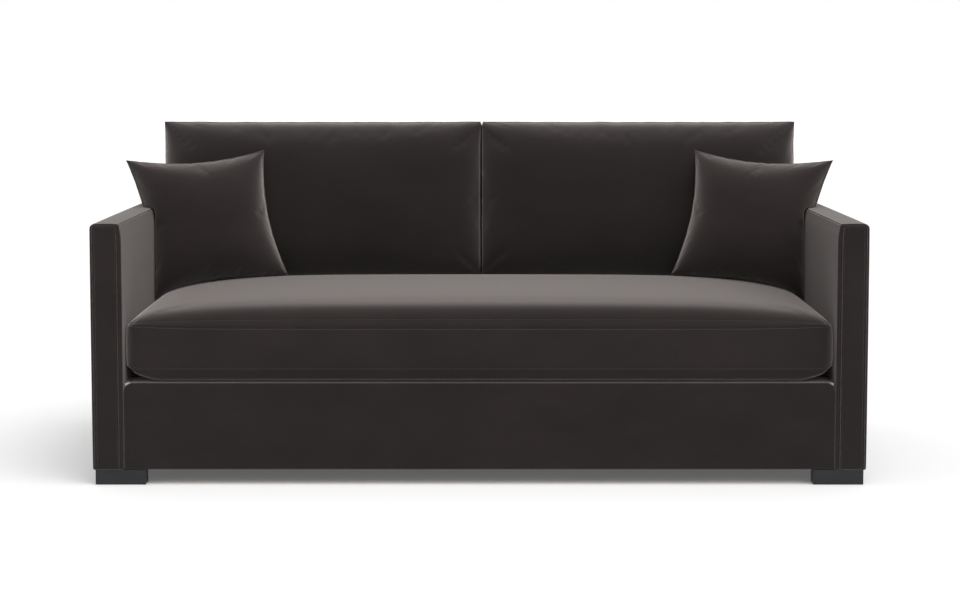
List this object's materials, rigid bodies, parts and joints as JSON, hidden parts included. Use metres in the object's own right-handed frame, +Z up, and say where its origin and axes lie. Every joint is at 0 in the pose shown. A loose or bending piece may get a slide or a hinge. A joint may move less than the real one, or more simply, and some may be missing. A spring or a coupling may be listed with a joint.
{
  "type": "tuxedo sofa",
  "caption": "Upholstered sofa with slim slab arms as high as its frame's back, a bench seat cushion, loose knife-edge back cushions and throw pillows on low block feet.",
  "frame": {"origin": "on the floor, midway between the arms' outer faces and midway from the arm fronts to the outside back", "axes": "+Z up, +X towards the sofa's right arm as seen from the front, +Y towards the back; the sofa faces -Y"},
  "size_m": [1.98, 0.965, 0.9048],
  "materials": {
    "frame_wood": "matte",
    "hardboard": "matte",
    "webbing": "matte",
    "spring_steel": "satin",
    "padding": "matte",
    "deck_cloth": "matte",
    "dust_cloth": "matte",
    "velvet": "matte",
    "cushion_fill": "matte",
    "zip_tape": "matte",
    "zip_metal": "satin",
    "foot_lacquer": "satin",
    "fastener_steel": "satin",
    "insert_brass": "satin",
    "glide_plastic": "matte"
  },
  "bodies": {
    "sofa_frame": {"front_rail": "frame_wood", "rear_rail": "frame_wood", "left_seat_end_rail": "frame_wood", "right_seat_end_rail": "frame_wood", "seat_stretchers": "frame_wood", "corner_blocks": "frame_wood", "left_back_post": "frame_wood", "right_back_post": "frame_wood", "inner_back_posts": "frame_wood", "back_top_rail": "frame_wood", "back_tack_rail": "frame_wood", "back_webbing": "webbing", "seat_springs": "spring_steel", "spring_clips": "spring_steel", "spring_tie_wires": "spring_steel", "deck_pad": "padding", "deck_cloth": "deck_cloth", "front_padding": "padding", "front_cover": "velvet", "inside_back_padding": "padding", "inside_back_cover": "velvet", "outside_back_liner": "hardboard", "outside_back_cover": "velvet", "dust_cover": "dust_cloth", "left_arm_front_post": "frame_wood", "left_arm_rear_post": "frame_wood", "left_arm_top_rail": "frame_wood", "left_arm_bottom_rail": "frame_wood", "left_arm_liners": "hardboard", "left_arm_padding": "padding", "left_arm_cover": "velvet", "right_arm_front_post": "frame_wood", "right_arm_rear_post": "frame_wood", "right_arm_top_rail": "frame_wood", "right_arm_bottom_rail": "frame_wood", "right_arm_liners": "hardboard", "right_arm_padding": "padding", "right_arm_cover": "velvet", "arm_bolts": "fastener_steel", "arm_inserts": "insert_brass", "front_left_foot": "foot_lacquer", "front_right_foot": "foot_lacquer", "rear_left_foot": "foot_lacquer", "rear_right_foot": "foot_lacquer", "foot_screws": "fastener_steel", "foot_glides": "glide_plastic"},
    "seat_cushion": {"seat_cushion_core": "cushion_fill", "seat_cushion_cover": "velvet", "seat_cushion_zip": "zip_tape"},
    "seat_zip_slider": {"seat_zip_slider": "zip_metal"},
    "left_back_cushion": {"left_back_cushion_core": "cushion_fill", "left_back_cushion_cover": "velvet"},
    "left_back_zip_slider": {"left_back_zip_slider": "zip_metal"},
    "right_back_cushion": {"right_back_cushion_core": "cushion_fill", "right_back_cushion_cover": "velvet"},
    "right_back_zip_slider": {"right_back_zip_slider": "zip_metal"},
    "left_pillow": {"left_pillow_core": "cushion_fill", "left_pillow_cover": "velvet"},
    "right_pillow": {"right_pillow_core": "cushion_fill", "right_pillow_cover": "velvet"}
  },
  "joints": [
    {"name": "seat_cushion_out", "type": "slide", "parent": "sofa_frame", "child": "seat_cushion", "axis": [0, -1, 0], "range_m": [0, 0.85]},
    {"name": "seat_zip_run", "type": "slide", "parent": "seat_cushion", "child": "seat_zip_slider", "axis": [1, 0, 0], "range_m": [0, 1.49]},
    {"name": "left_back_cushion_lift", "type": "slide", "parent": "sofa_frame", "child": "left_back_cushion", "axis": [0, 0.1392, 0.9903], "range_m": [0, 0.45]},
    {"name": "left_back_zip_run", "type": "slide", "parent": "left_back_cushion", "child": "left_back_zip_slider", "axis": [1, 0, 0], "range_m": [0, 0.55]},
    {"name": "right_back_cushion_lift", "type": "slide", "parent": "sofa_frame", "child": "right_back_cushion", "axis": [0, 0.1392, 0.9903], "range_m": [0, 0.45]},
    {"name": "right_back_zip_run", "type": "slide", "parent": "right_back_cushion", "child": "right_back_zip_slider", "axis": [1, 0, 0], "range_m": [0, 0.54]},
    {"name": "left_pillow_lift", "type": "slide", "parent": "sofa_frame", "child": "left_pillow", "axis": [0, -0.5, 0.866], "range_m": [0, 0.4]},
    {"name": "right_pillow_lift", "type": "slide", "parent": "sofa_frame", "child": "right_pillow", "axis": [0, -0.5, 0.866], "range_m": [0, 0.4]}
  ]
}
